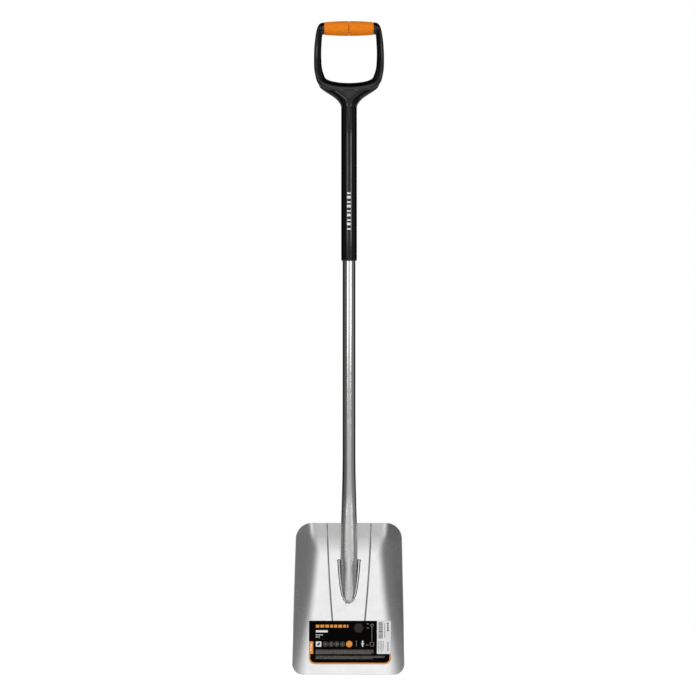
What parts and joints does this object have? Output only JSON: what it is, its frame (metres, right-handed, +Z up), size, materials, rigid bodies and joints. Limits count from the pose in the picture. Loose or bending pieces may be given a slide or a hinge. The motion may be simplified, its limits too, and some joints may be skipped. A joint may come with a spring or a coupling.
{
  "type": "square-mouth shovel",
  "caption": "Upright square-mouth shovel: dished silver steel blade welded to a steel tube shaft, black sleeve and D-shaped handle with an orange grip.",
  "frame": {"origin": "middle of the overall box on X and Y, at the blade lip on Z", "axes": "+Z up the shaft to the grip, +X along the grip to the right as seen from the open face of the blade, -Y out of the open face of the blade"},
  "size_m": [0.2406, 0.0977, 1.4],
  "materials": {
    "silver_blade": "satin",
    "silver_tube": "semi-gloss",
    "silver_weld": "satin",
    "black_frame": "fine grain",
    "black_sleeve": "fine grain",
    "orange_grip": "satin",
    "rivet_steel": "brushed",
    "label_print": "coated",
    "label_white": "matt"
  },
  "bodies": {
    "root": {"blade": "silver_blade", "shaft_tube": "silver_tube", "weld_run_left": "silver_weld", "weld_run_right": "silver_weld", "weld_toe": "silver_weld", "handle_frame": "black_frame", "grip_sleeve_left": "orange_grip", "grip_sleeve_right": "orange_grip", "shaft_sleeve": "black_sleeve", "handle_rivet": "rivet_steel", "label_card": "label_print", "label_sticker": "label_white"}
  },
  "joints": []
}
